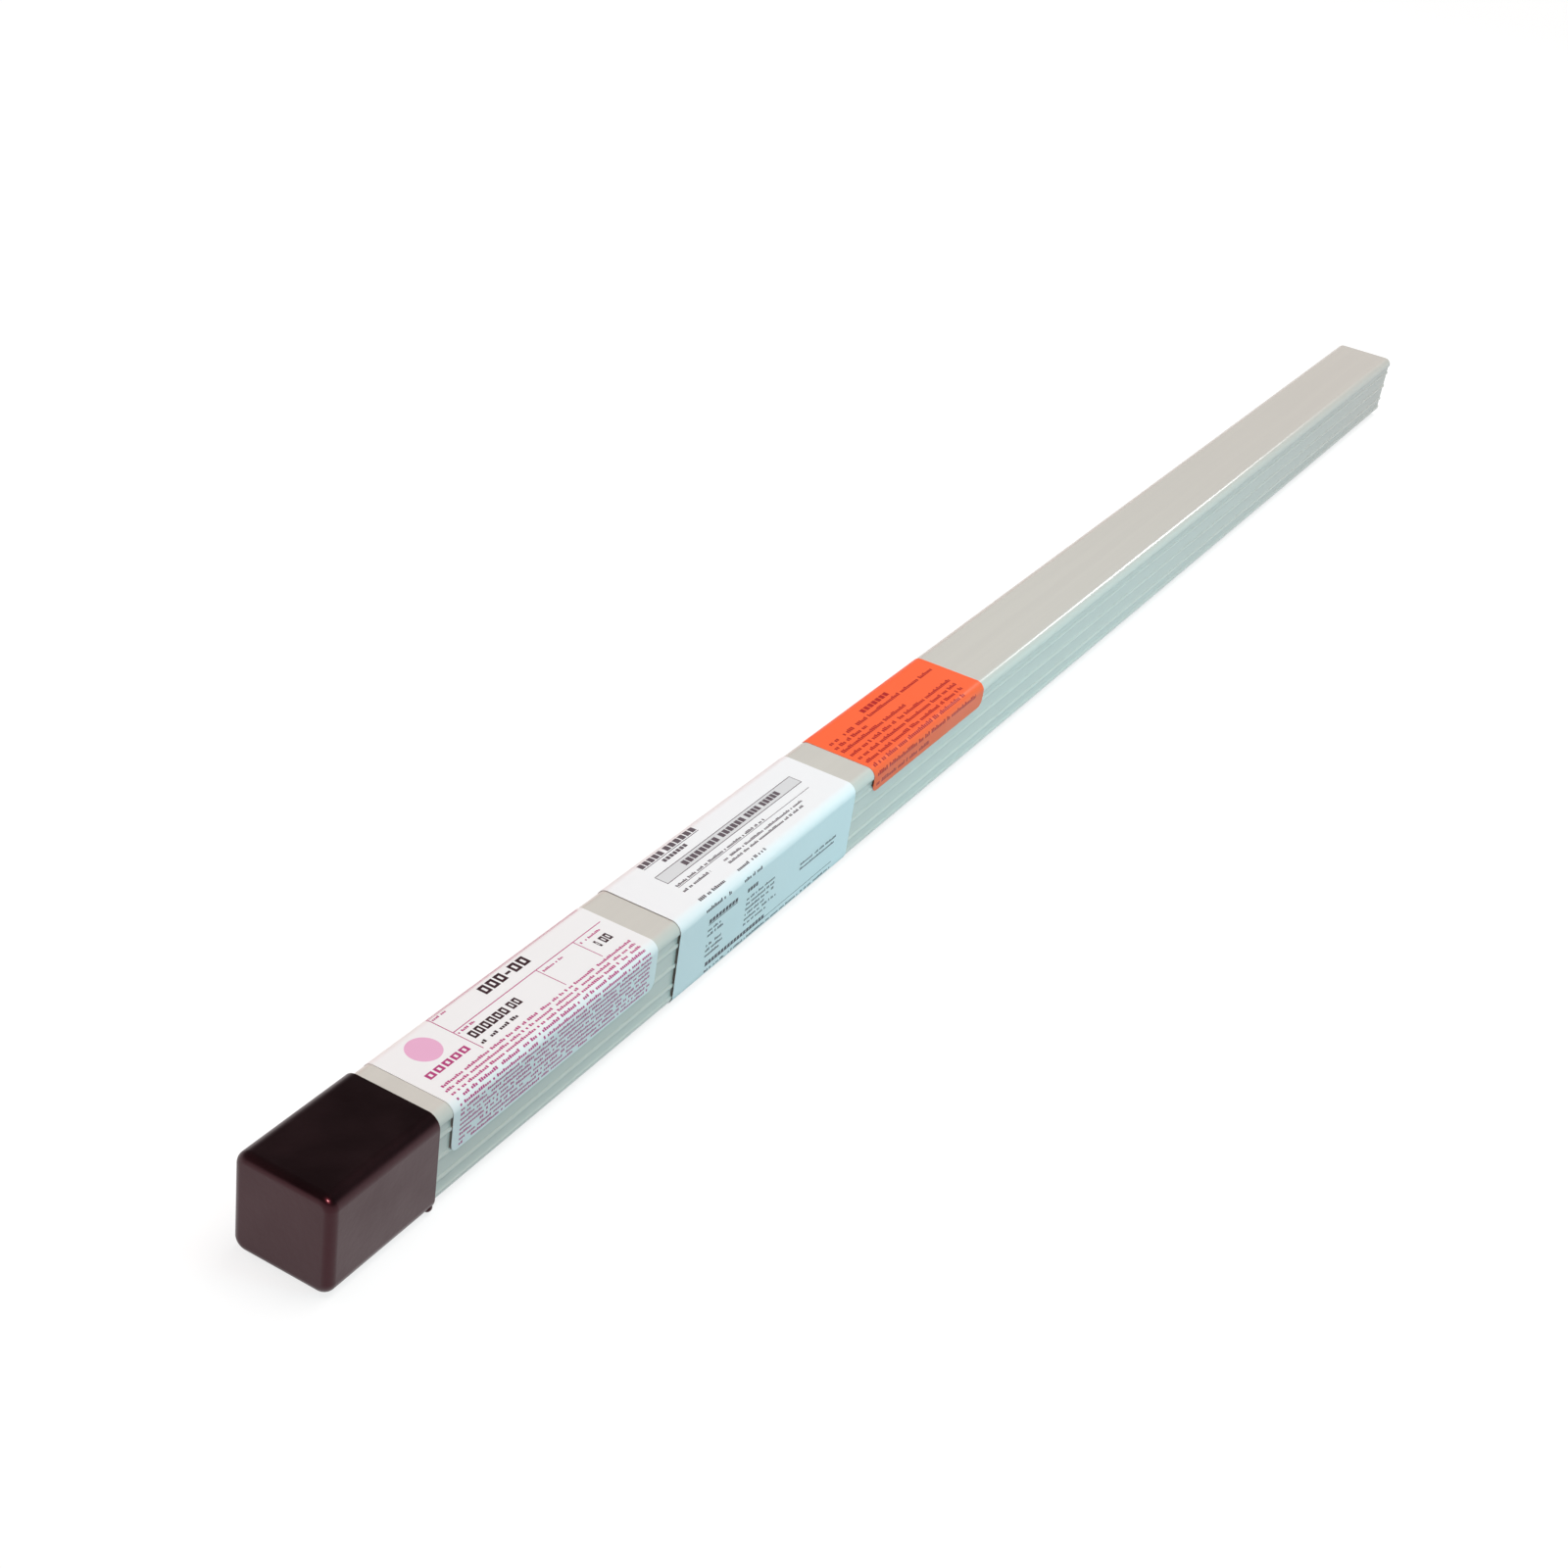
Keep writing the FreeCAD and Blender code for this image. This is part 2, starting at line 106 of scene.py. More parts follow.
class PaperSettings(bpy.types.PropertyGroup):
    fold_radius: bpy.props.FloatProperty(
        name="Fold radius", description="Outside radius of the label and sticker over the tube's corners",
        unit="LENGTH", precision=5, default=0.00365)
    left_drop: bpy.props.FloatProperty(
        name="Left drop", description="How far the label reaches down the tube's left side",
        unit="LENGTH", precision=4, default=0.007)
    label_corner: bpy.props.FloatProperty(
        name="Label corner", description="Rounding of the label's and sticker's own corners",
        unit="LENGTH", precision=4, default=0.003)
    thickness: bpy.props.FloatProperty(
        name="Paper thickness", description="Thickness of the label and the sticker",
        unit="LENGTH", precision=5, default=0.00015)
    sheet_radius: bpy.props.FloatProperty(
        name="Sheet corner radius", description="Outside radius of the loose sheet's corners",
        unit="LENGTH", precision=5, default=0.00415)
    sheet_thickness: bpy.props.FloatProperty(
        name="Sheet thickness", description="Thickness of the folded sheet",
        unit="LENGTH", precision=5, default=0.00015)
    label_colour: bpy.props.FloatVectorProperty(
        name="Label colour", description="White of the label",
        subtype="COLOR", size=3, min=0, max=1, default=(0.86, 0.83, 0.83))
    sheet_colour: bpy.props.FloatVectorProperty(
        name="Sheet colour", description="White of the wrapped sheet",
        subtype="COLOR", size=3, min=0, max=1, default=(0.86, 0.84, 0.85))
    sticker_colour: bpy.props.FloatVectorProperty(
        name="Sticker colour", description="Bright orange of the sticker",
        subtype="COLOR", size=3, min=0, max=1, default=(1.0, 0.14, 0.045))
    pink_ink: bpy.props.FloatVectorProperty(
        name="Pink ink", description="Frame lines and small print of the label",
        subtype="COLOR", size=3, min=0, max=1, default=(0.46, 0.045, 0.19))
    pale_ink: bpy.props.FloatVectorProperty(
        name="Pale ink", description="Plain disc on the label",
        subtype="COLOR", size=3, min=0, max=1, default=(0.80, 0.42, 0.60))
    dark_ink: bpy.props.FloatVectorProperty(
        name="Dark ink", description="Filled-in entries on the label",
        subtype="COLOR", size=3, min=0, max=1, default=(0.045, 0.015, 0.022))
    grey_ink: bpy.props.FloatVectorProperty(
        name="Grey ink", description="Print of the wrapped sheet",
        subtype="COLOR", size=3, min=0, max=1, default=(0.13, 0.10, 0.115))
    brown_ink: bpy.props.FloatVectorProperty(
        name="Brown ink", description="Print of the orange sticker",
        subtype="COLOR", size=3, min=0, max=1, default=(0.46, 0.016, 0.016))


class StageSettings(bpy.types.PropertyGroup):
    floor_colour: bpy.props.FloatVectorProperty(
        name="Floor colour", description="How much light the floor throws back, under the white that is seen",
        subtype="COLOR", size=3, min=0, max=1, default=(0.24, 0.24, 0.24))
    floor_glow: bpy.props.FloatProperty(
        name="Floor glow", description="What makes the floor white where the camera or a reflection sees it",
        default=0.80)
    key_strength: bpy.props.FloatProperty(
        name="Key strength", description="Strength of the wide soft light from above", default=2.0)
    key_softness: bpy.props.FloatProperty(
        name="Key softness", description="Width of the light from above",
        subtype="ANGLE", default=math.radians(40))
    side_power: bpy.props.FloatProperty(
        name="Side power", description="Soft lamp on the camera's right", unit="POWER", default=1.3)
    far_power: bpy.props.FloatProperty(
        name="Far power", description="Small lamp past the plugged end, for the white line on the corner",
        unit="POWER", default=3.0)
    back_power: bpy.props.FloatProperty(
        name="Back power", description="Soft warm lamp behind the tube", unit="POWER", default=4.0)
    catch_power: bpy.props.FloatProperty(
        name="Catch power", description="Small lamp by the camera, for the dot of light on the cap",
        unit="POWER", default=14.0)
    fill_level: bpy.props.FloatProperty(
        name="Fill level", description="Strength of the even light from all round", default=0.24)


def focus(piece):
    """Makes a piece the only one selected and the active one."""
    bpy.ops.object.select_all(action="DESELECT")
    piece.select_set(True)
    bpy.context.view_layer.objects.active = piece


def apply_modifier(piece, kind, **values):
    """Adds a modifier with these values and applies it."""
    focus(piece)
    modifier = piece.modifiers.new(kind.lower(), kind)
    for name, value in values.items():
        setattr(modifier, name, value)
    bpy.ops.object.modifier_apply(modifier=modifier.name)


def smooth(piece, angle):
    """Smooth shading with crisp edges, and flat faces kept flat up to their edges."""
    focus(piece)
    bpy.ops.object.shade_smooth_by_angle(angle=angle)
    apply_modifier(piece, "WEIGHTED_NORMAL", keep_sharp=True, weight=100)


def skin_of_node(node, name, angle):
    """A piece with the same surface as a solid, its loose triangles merged and smoothed."""
    piece = bpy.data.objects.new(name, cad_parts[node].data.copy())
    bpy.context.collection.objects.link(piece)
    focus(piece)
    bpy.ops.object.mode_set(mode="EDIT")
    bpy.ops.mesh.select_all(action="SELECT")
    bpy.ops.mesh.remove_doubles(threshold=ALIKE / 10)
    bpy.ops.mesh.tris_convert_to_quads()
    bpy.ops.object.mode_set(mode="OBJECT")
    smooth(piece, angle)
    return piece


def finish_piece(piece, node, body, material):
    """Puts a finished piece in the place of its solid."""
    piece.data.materials.clear()
    piece.data.materials.append(material)
    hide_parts(node)
    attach(piece, body)


def select_edge(piece, test):
    """In edit mode, selects only the edges whose two ends pass the test."""
    bpy.ops.mesh.select_all(action="DESELECT")
    bpy.ops.mesh.select_mode(type="EDGE")
    work = bmesh.from_edit_mesh(piece.data)
    found = [edge for edge in work.edges if all(test(corner.co) for corner in edge.verts)]
    if not found:
        raise RuntimeError("no edge to work on in " + piece.name)
    for edge in found:
        edge.select = True
    bmesh.update_edit_mesh(piece.data)


def fold_edge(across, height, angle):
    """Turns the selected edge round a line along the tube, leaving a curved fold."""
    bpy.ops.mesh.spin(steps=FOLD_STEPS, angle=-angle, center=(0, across, height), axis=(1, 0, 0))


def run_edge(across, up):
    """Draws the selected edge out straight."""
    bpy.ops.mesh.extrude_region_move(TRANSFORM_OT_translate={"value": (0, across, up)})


def flat_top(name, start, end, half_width, height):
    """A plane over the tube's top face, from which a paper is folded. Leaves edit mode on."""
    bpy.ops.object.select_all(action="DESELECT")
    bpy.ops.mesh.primitive_plane_add(size=1, location=(0, 0, 0))
    piece = bpy.context.object
    piece.name = name
    bpy.ops.object.mode_set(mode="EDIT")
    bpy.ops.mesh.select_all(action="SELECT")
    bpy.ops.transform.resize(value=(end - start, half_width * 2, 1))
    bpy.ops.transform.translate(value=((start + end) / 2, 0, height))
    return piece


def fold_paper(node, name, radius, left_drop):
    """Folds a stuck-on paper over the tube: top, right side, and what reaches past the left corner."""
    low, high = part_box(node)
    half = -low.y
    flat = half - radius
    height = AXIS_HEIGHT + half
    piece = flat_top(name, low.x, high.x, flat, height)
    select_edge(piece, lambda spot: spot.y > flat - ALIKE)
    if high.y < half - ALIKE:
        fold_edge(flat, height - radius, -math.asin((high.y - flat) / radius))
    else:
        fold_edge(flat, height - radius, -math.pi / 2)
        run_edge(0, TUBE_BOX[1].z - left_drop - (height - radius))
    select_edge(piece, lambda spot: spot.y < ALIKE - flat)
    fold_edge(-flat, height - radius, math.pi / 2)
    run_edge(0, low.z - (height - radius))
    bpy.ops.object.mode_set(mode="OBJECT")
    return piece


def round_outline(piece, radius):
    """Rounds the paper's own corners: the vertices that only one face uses."""
    focus(piece)
    bpy.ops.object.mode_set(mode="EDIT")
    bpy.ops.mesh.select_all(action="DESELECT")
    bpy.ops.mesh.select_mode(type="VERT")
    work = bmesh.from_edit_mesh(piece.data)
    for corner in work.verts:
        corner.select = len(corner.link_faces) == 1
    bmesh.update_edit_mesh(piece.data)
    bpy.ops.mesh.bevel(
        offset=radius, offset_type="OFFSET", segments=CORNER_STEPS, affect="VERTICES", profile=0.5)
    bpy.ops.object.mode_set(mode="OBJECT")


def unroll(piece, half, radius):
    """Lays the paper out flat in its UV map: metres along, and metres round from the top's middle."""
    flat = half - radius
    quarter = radius * math.pi / 2
    mesh = piece.data
    layer = mesh.uv_layers.get(UNROLLED) or mesh.uv_layers.new(name=UNROLLED)
    for loop in mesh.loops:
        spot = mesh.vertices[loop.vertex_index].co
        side = 1 if spot.y < 0 else -1
        across = abs(spot.y)
        down = AXIS_HEIGHT + flat - spot.z
        if down > 0:
            round_it = flat + quarter + down
        elif across > flat:
            round_it = flat + radius * math.atan2(across - flat, -down)
        else:
            round_it = across
        layer.data[loop.index].uv = (spot.x, side * round_it)


def new_material(name):
    """A material, its node tree and its main shader."""
    material = bpy.data.materials.new(name)
    material.use_nodes = True
    return material, material.node_tree, material.node_tree.nodes["Principled BSDF"]


def add_node(tree, kind, **settings):
    node = tree.nodes.new(kind)
    for name, value in settings.items():
        setattr(node, name, value)
    return node


def feed(tree, socket, source):
    """Links an output to a socket, or sets the socket to a plain value."""
    if isinstance(source, bpy.types.NodeSocket):
        tree.links.new(source, socket)
    else:
        socket.default_value = source


def calculate(tree, operation, *inputs):
    node = add_node(tree, "ShaderNodeMath", operation=operation)
    for socket, source in zip(node.inputs, inputs):
        feed(tree, socket, source)
    return node.outputs[0]


def mix_colours(tree, factor, first, second):
    node = add_node(tree, "ShaderNodeMix", data_type="RGBA")
    colours = [socket for socket in node.inputs if socket.type == "RGBA"]
    feed(tree, node.inputs["Factor"], factor)
    feed(tree, colours[0], first)
    feed(tree, colours[1], second)
    return next(socket for socket in node.outputs if socket.type == "RGBA")


def spread(tree, value, low, high, to_low, to_high):
    """Maps a range of values onto another one, held at its ends."""
    node = add_node(tree, "ShaderNodeMapRange")
    for socket, source in zip(node.inputs, (value, low, high, to_low, to_high)):
        feed(tree, socket, source)
    return node.outputs[0]


def new_group(name, inputs, outputs):
    """A node group with number inputs and their defaults, and named outputs."""
    group = bpy.data.node_groups.new(name, "ShaderNodeTree")
    for label, default in inputs:
        kind = "NodeSocketVector" if default is None else "NodeSocketFloat"
        socket = group.interface.new_socket(label, in_out="INPUT", socket_type=kind)
        if default is not None:
            socket.default_value = default
    for label in outputs:
        group.interface.new_socket(label, in_out="OUTPUT", socket_type="NodeSocketFloat")
    return group, add_node(group, "NodeGroupInput").outputs, add_node(group, "NodeGroupOutput").inputs


def use_group(tree, name, **values):
    node = add_node(tree, "ShaderNodeGroup", node_tree=bpy.data.node_groups[name])
    for label, source in values.items():
        feed(tree, node.inputs[label.replace("_", " ")], source)
    return node.outputs


def stretched_place(tree, along, across):
    """Object coordinates scaled along and across the tube."""
    place = add_node(tree, "ShaderNodeTexCoord").outputs["Object"]
    mapping = add_node(tree, "ShaderNodeMapping")
    feed(tree, mapping.inputs["Vector"], place)
    mapping.inputs["Scale"].default_value = (along, across, across)
    return mapping.outputs[0]


def make_grain_group():
    """Fine surface grain with slow patches: for bump, and for uneven gloss."""
    group, given, result = new_group(
        "surface_grain", (("Place", None), ("Fine Scale", 900), ("Patch Scale", 30)), ("Height", "Patches"))
    fine = add_node(group, "ShaderNodeTexNoise")
    feed(group, fine.inputs["Vector"], given["Place"])
    feed(group, fine.inputs["Scale"], given["Fine Scale"])
    fine.inputs["Detail"].default_value = 3
    patches = add_node(group, "ShaderNodeTexNoise")
    feed(group, patches.inputs["Vector"], given["Place"])
    feed(group, patches.inputs["Scale"], given["Patch Scale"])
    patches.inputs["Detail"].default_value = 2
    feed(group, result["Height"], fine.outputs["Fac"])
    feed(group, result["Patches"], spread(group, patches.outputs["Fac"], 0.35, 0.65, 0.0, 1.0))


def within(tree, value, middle, half):
    """One where the value lies no further from the middle than this, and nought elsewhere."""
    return calculate(tree, "COMPARE", value, middle, half)


def halfway(tree, first, last):
    """The middle between two values, and half the distance."""
    middle = calculate(tree, "MULTIPLY", calculate(tree, "ADD", first, last), 0.5)
    return middle, calculate(tree, "SUBTRACT", last, middle)


def make_box_group():
    """A rectangle of print, in millimetres: lines of this width round it, and what lies inside them."""
    limits = (("Under", 0), ("Along", 0), ("Down", 0), ("Left", 0), ("Right", 10), ("Top", 0),
              ("Bottom", 1), ("Line", FILLED))
    group, given, result = new_group("print_box", limits, ("Ink", "Inside"))
    across = halfway(group, given["Left"], given["Right"])
    upright = halfway(group, given["Top"], given["Bottom"])
    wide = within(group, given["Along"], *across)
    tall = within(group, given["Down"], *upright)
    ink = calculate(group, "MULTIPLY", wide, tall)
    wide = within(group, given["Along"], across[0], calculate(group, "SUBTRACT", across[1], given["Line"]))
    tall = within(group, given["Down"], upright[0], calculate(group, "SUBTRACT", upright[1], given["Line"]))
    inside = calculate(group, "MULTIPLY", wide, tall)
    ink = calculate(group, "SUBTRACT", ink, inside)
    feed(group, result["Inside"], inside)
    feed(group, result["Ink"], calculate(group, "MAXIMUM", ink, given["Under"]))


def make_disc_group():
    """A plain filled disc of print, in millimetres."""
    sizes = (("Under", 0), ("Along", 0), ("Down", 0), ("Left", 0), ("Top", 0), ("Radius", 5))
    group, given, result = new_group("print_disc", sizes, ("Ink",))
    middle_along = calculate(group, "ADD", given["Left"], given["Radius"])
    middle_down = calculate(group, "ADD", given["Top"], given["Radius"])
    squares = [
        calculate(group, "POWER", calculate(group, "SUBTRACT", spot, middle), 2.0)
        for spot, middle in ((given["Along"], middle_along), (given["Down"], middle_down))]
    reach = calculate(group, "POWER", given["Radius"], 2.0)
    ink = calculate(group, "LESS_THAN", calculate(group, "ADD", *squares), reach)
    feed(group, result["Ink"], calculate(group, "MAXIMUM", ink, given["Under"]))


def noise_of(tree, *parts):
    """A random number that stays the same for the same three whole numbers."""
    joined = add_node(tree, "ShaderNodeCombineXYZ")
    for socket, part in zip(joined.inputs, parts):
        feed(tree, socket, part)
    noise = add_node(tree, "ShaderNodeTexWhiteNoise", noise_dimensions="3D")
    feed(tree, noise.inputs["Vector"], joined.outputs[0])
    return noise.outputs["Value"]


def steps_from(tree, value, start, step):
    """How many steps the value lies past the start."""
    return calculate(tree, "DIVIDE", calculate(tree, "SUBTRACT", value, start), step)


def make_rows_group():
    """Rows of small print as broken dashes in word lengths, in millimetres."""
    limits = (("Under", 0), ("Along", 0), ("Down", 0), ("Left", 0), ("Right", 80), ("Ragged", 0),
              ("Top", 0), ("Rows", 1), ("Pitch", 2), ("Height", 1), ("Letter", 1), ("Gaps", WORD_GAPS),
              ("Small", SMALL_LETTERS), ("Seed", 0))
    group, given, result = new_group("print_rows", limits, ("Ink",))
    depth = steps_from(group, given["Down"], given["Top"], given["Pitch"])
    row = calculate(group, "FLOOR", depth)
    middle = calculate(group, "MULTIPLY", given["Rows"], 0.5)
    ink = within(group, depth, middle, middle)
    place = steps_from(group, given["Along"], given["Left"], given["Letter"])
    letter = calculate(group, "FLOOR", place)
    in_letter = calculate(group, "LESS_THAN", calculate(group, "FRACT", place), LETTER_SHARE)
    ink = calculate(group, "MULTIPLY", ink, in_letter)
    word = calculate(group, "GREATER_THAN", noise_of(group, letter, row, given["Seed"]), given["Gaps"])
    ink = calculate(group, "MULTIPLY", ink, word)
    small = calculate(group, "LESS_THAN", noise_of(group, letter, given["Seed"], row), given["Small"])
    share = calculate(group, "DIVIDE", given["Height"], given["Pitch"])
    top = calculate(group, "MULTIPLY", calculate(group, "MULTIPLY", small, SMALL_LETTER_DROP), share)
    middle, half = halfway(group, top, share)
    ink = calculate(group, "MULTIPLY", ink, within(group, calculate(group, "FRACT", depth), middle, half))
    short = calculate(group, "MULTIPLY", given["Ragged"], noise_of(group, row, given["Seed"], 3.0))
    middle, half = halfway(group, given["Left"], calculate(group, "SUBTRACT", given["Right"], short))
    ink = calculate(group, "MULTIPLY", ink, within(group, given["Along"], middle, half))
    feed(group, result["Ink"], calculate(group, "MAXIMUM", ink, given["Under"]))


def make_word_group():
    """One large word as a row of hollow blocks, in millimetres."""
    limits = (("Under", 0), ("Along", 0), ("Down", 0), ("Left", 0), ("Top", 0), ("Height", 2),
              ("Letter", 2), ("Letters", 5))
    group, given, result = new_group("print_word", limits, ("Ink",))
    down = steps_from(group, given["Down"], given["Top"], given["Height"])
    place = steps_from(group, given["Along"], given["Left"], given["Letter"])
    middle = calculate(group, "MULTIPLY", given["Letters"], 0.5)
    ink = calculate(group, "MULTIPLY", within(group, down, 0.5, 0.5), within(group, place, middle, middle))
    in_letter = calculate(group, "FRACT", place)
    half_letter = LETTER_SHARE / 2
    ink = calculate(group, "MULTIPLY", ink, within(group, in_letter, half_letter, half_letter))
    hollow = within(group, in_letter, half_letter, HOLE_HALF_WIDTH)
    hole = calculate(group, "MULTIPLY", hollow, within(group, down, 0.5, HOLE_HALF_HEIGHT))
    ink = calculate(group, "MAXIMUM", calculate(group, "SUBTRACT", ink, hole), given["Under"])
    feed(group, result["Ink"], ink)


class Print:
    """Places print on a paper in one ink. Lengths are in millimetres: along from the paper's start,
    and round from the left edge of the tube's top."""

    def __init__(self, tree, start):
        self.tree = tree
        self.ink = 0.0
        laid_out = add_node(tree, "ShaderNodeUVMap", uv_map=UNROLLED)
        split = add_node(tree, "ShaderNodeSeparateXYZ")
        feed(tree, split.inputs[0], laid_out.outputs[0])
        along = calculate(tree, "SUBTRACT", split.outputs["X"], start)
        down = calculate(tree, "ADD", split.outputs["Y"], TUBE_HALF)
        self.along = calculate(tree, "DIVIDE", along, MM)
        self.down = calculate(tree, "DIVIDE", down, MM)

    def put(self, group, values):
        """Adds one shape of print over what is there."""
        values |= {"Under": self.ink, "Along": self.along, "Down": self.down}
        outputs = use_group(self.tree, group, **values)
        self.ink = outputs["Ink"]
        return outputs

    def boxes(self, *places):
        """Filled rectangles: left, right, top, bottom."""
        for left, right, top, bottom in places:
            self.frame(left, right, top, bottom, FILLED)

    def frame(self, left, right, top, bottom, line):
        """Lines round a rectangle. Gives back what lies inside them."""
        limits = {"Left": left, "Right": right, "Top": top, "Bottom": bottom, "Line": line}
        return self.put("print_box", limits)["Inside"]

    def disc(self, left, top, radius):
        """A plain filled disc."""
        self.put("print_disc", {"Left": left, "Top": top, "Radius": radius})

    def rows(self, left, right, top, height, rows=1, pitch=2.0, letter=1.1, ragged=0.0, seed=1):
        """Small print in rows, as broken dashes the length of words."""
        self.put("print_rows", {
            "Left": left, "Right": right, "Top": top, "Height": height, "Rows": rows, "Seed": seed,
            "Pitch": max(pitch, height), "Ragged": ragged, "Letter": letter, "Gaps": WORD_GAPS,
            "Small": SMALL_LETTERS})

    def bold(self, *places):
        """Words in solid blocks: left, right, top, height, how many blocks."""
        for left, right, top, height, letters in places:
            self.put("print_rows", {
                "Left": left, "Right": right, "Top": top, "Height": height, "Rows": 1, "Pitch": height,
                "Letter": (right - left) / (letters - LETTER_GAP), "Ragged": 0.0, "Gaps": 0.0, "Small": 0.0,
                "Seed": 0})

    def words(self, *places):
        """Large words, each a row of hollow blocks: left, right, top, height, how many blocks."""
        for left, right, top, height, letters in places:
            self.put("print_word", {
                "Left": left, "Top": top, "Height": height, "Letters": letters,
                "Letter": (right - left) / (letters - LETTER_GAP)})

    def over(self, paper, colour):
        """The paper's colour with this ink on it."""
        return mix_colours(self.tree, self.ink, paper, (*colour, 1))


def surface(tree, shader, place, fine, patch, roughness, bump):
    """Uneven gloss and a fine grain bump for a surface. bump is the grain's depth in metres."""
    grain = use_group(tree, "surface_grain", Place=place, Fine_Scale=fine, Patch_Scale=patch)
    feed(tree, shader.inputs["Roughness"], spread(tree, grain["Patches"], 0.0, 1.0, *roughness))
    raised = add_node(tree, "ShaderNodeBump")
    raised.inputs["Distance"].default_value = bump
    feed(tree, raised.inputs["Height"], grain["Height"])
    feed(tree, shader.inputs["Normal"], raised.outputs[0])
    return grain["Patches"]


def tube_material(settings):
    """Extruded plastic: satin light grey with faint lines along the tube."""
    material, tree, shader = new_material("tube_plastic")
    lines = surface(tree, shader, stretched_place(tree, 0.02, 1.0), 700, 260, (0.20, 0.25), 0.0000005)
    colour = mix_colours(tree, lines, (*settings.colour, 1), (*settings.streak_colour, 1))
    feed(tree, shader.inputs["Base Color"], colour)
    shader.inputs["Specular IOR Level"].default_value = 0.4
    return material


def cap_material(settings):
    """Dipped vinyl: near black, satin, with a very soft orange peel."""
    material, tree, shader = new_material("cap_vinyl")
    dull = surface(tree, shader, stretched_place(tree, 1.0, 1.0), 420, 60, (0.30, 0.42), 0.00004)
    dusty = [channel * 1.4 for channel in settings.colour]
    colour = mix_colours(tree, dull, (*settings.colour, 1), (*dusty, 1))
    feed(tree, shader.inputs["Base Color"], colour)
    shader.inputs["Specular IOR Level"].default_value = 0.5
    shader.inputs["Specular Tint"].default_value = (1.0, 0.2, 0.3, 1)
    shader.inputs["Coat Weight"].default_value = 0.2
    shader.inputs["Coat Roughness"].default_value = 0.12
    return material


def plug_material(settings):
    """Moulded plug: matt grey with a fine grain."""
    material, tree, shader = new_material("plug_plastic")
    patches = surface(tree, shader, stretched_place(tree, 1.0, 1.0), 1600, 90, (0.50, 0.62), 0.00002)
    darker = [channel * 0.93 for channel in settings.plug_colour]
    colour = mix_colours(tree, patches, (*settings.plug_colour, 1), (*darker, 1))
    feed(tree, shader.inputs["Base Color"], colour)
    return material


def rod_material(settings):
    """Drawn steel: fine scratches along the rod."""
    material, tree, shader = new_material("rod_steel")
    patches = surface(tree, shader, stretched_place(tree, 0.01, 1.0), 4000, 700, (0.28, 0.42), 0.000004)
    darker = [channel * 0.85 for channel in settings.rod_colour]
    colour = mix_colours(tree, patches, (*settings.rod_colour, 1), (*darker, 1))
    feed(tree, shader.inputs["Base Color"], colour)
    shader.inputs["Metallic"].default_value = 1.0
    return material


def label_material(settings, start):
    """White gloss label: pink frame lines and small print, and dark filled-in entries."""
    material, tree, shader = new_material("label_paper")
    surface(tree, shader, stretched_place(tree, 1.0, 1.0), 2500, 45, (0.48, 0.58), 0.000006)
    shader.inputs["Specular IOR Level"].default_value = 0.3
    pale = Print(tree, start)
    pale.disc(9.0, 4.2, 5.6)
    pink = Print(tree, start)
    pink.boxes(
        (26.0, 102.5, 1.4, 1.8), (26.0, 102.5, 2.2, 2.35), (26.0, 26.35, 1.4, 22.3),
        (26.0, 101.5, 11.2, 11.55), (66.8, 67.15, 11.2, 22.6), (86.3, 86.65, 11.2, 22.6))
    pink.rows(26.8, 33.0, 2.8, 0.9, letter=0.8, seed=2)
    pink.rows(26.9, 34.5, 12.2, 0.9, letter=0.8, seed=3)
    pink.rows(68.0, 78.0, 12.9, 0.9, letter=0.8, seed=4)
    pink.rows(87.6, 98.0, 13.1, 0.9, letter=0.8, seed=5)
    pink.words((5.0, 23.5, 17.3, 2.6, 5))
    pink.rows(3.4, 100.0, 23.6, 1.05, rows=4, pitch=2.02, letter=0.95, ragged=2.0, seed=7)
    pink.rows(3.4, 101.0, 31.7, 0.95, rows=9, pitch=1.73, letter=0.95, ragged=1.5, seed=8)
    dark = Print(tree, start)
    dark.words(
        (47.5, 58.5, 3.6, 4.0, 3), (62.4, 70.0, 3.6, 4.0, 2), (28.3, 45.4, 14.5, 3.4, 6),
        (46.8, 51.6, 14.5, 3.4, 2), (90.6, 91.6, 15.9, 3.4, 1), (93.2, 97.4, 15.9, 3.4, 2))
    dark.boxes((59.3, 61.6, 5.3, 6.2))
    dark.rows(27.6, 45.5, 19.8, 1.3, seed=14)
    paper = pale.over((*settings.label_colour, 1), settings.pale_ink)
    colour = dark.over(pink.over(paper, settings.pink_ink), settings.dark_ink)
    feed(tree, shader.inputs["Base Color"], colour)
    return material


